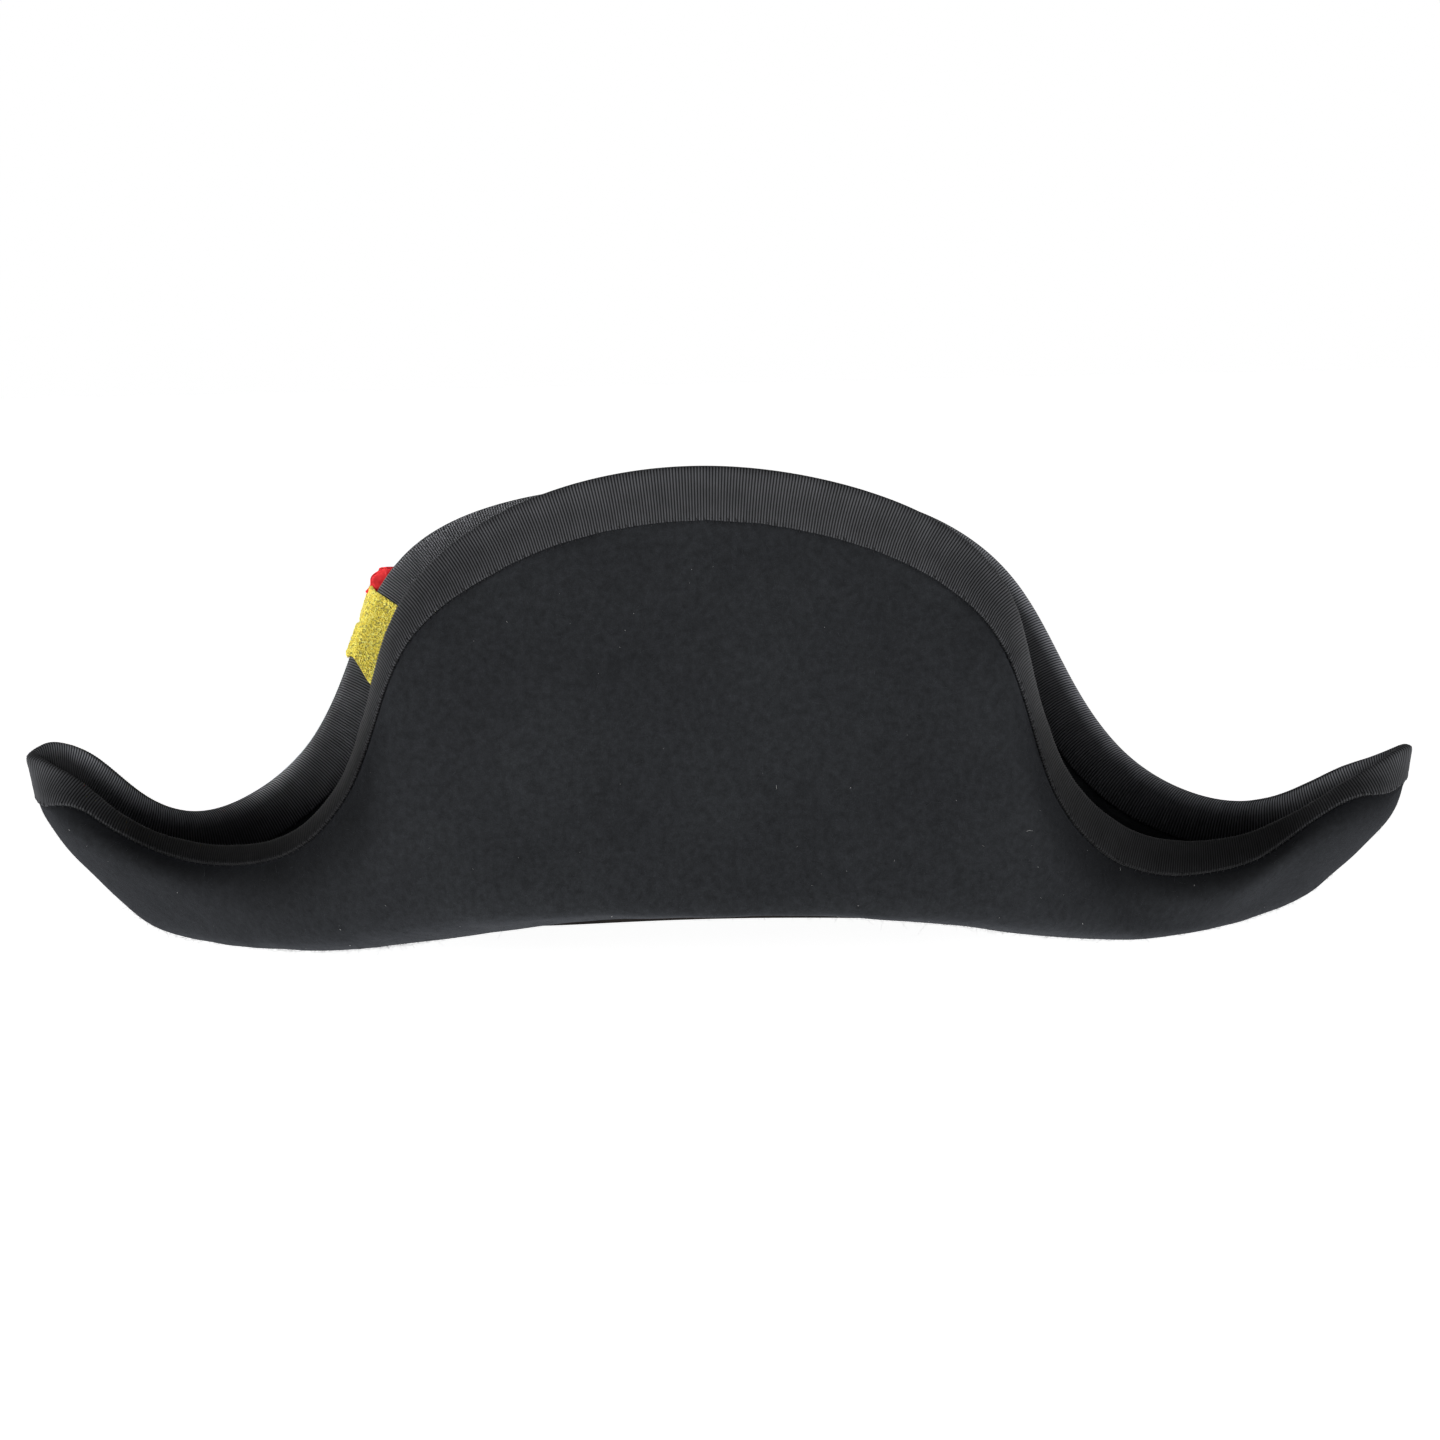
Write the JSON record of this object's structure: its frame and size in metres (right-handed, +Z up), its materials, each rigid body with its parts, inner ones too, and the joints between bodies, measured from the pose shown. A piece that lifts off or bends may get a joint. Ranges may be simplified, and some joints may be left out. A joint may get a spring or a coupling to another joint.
{
  "type": "bicorne hat",
  "caption": "Black wool felt bicorne worn side to side, with two upturned flaps, ribbon-bound edge, gold strap and pleated cockade.",
  "frame": {"origin": "the middle of the hat's outer box, on the surface on which it rests", "axes": "+Z up, -Y the way the wearer faces, +X towards the wearer's left; the points of the brim lie along X"},
  "size_m": [0.4694, 0.2343, 0.1589],
  "materials": {
    "felt": "matt black wool felt",
    "ribbon": "black ribbed grosgrain ribbon",
    "leather": "smooth dark leather",
    "ribbon_red": "pleated ribbon",
    "ribbon_white": "pleated ribbon",
    "ribbon_blue": "pleated ribbon",
    "lame": "gold metallic weave",
    "brass": "polished"
  },
  "bodies": {
    "root": {"felt_body": "felt", "edge_binding": "ribbon", "sweatband": "leather", "cockade_red": "ribbon_red", "cockade_white": "ribbon_white", "cockade_blue": "ribbon_blue", "gold_strap": "lame", "cockade_button": "brass"}
  },
  "joints": []
}
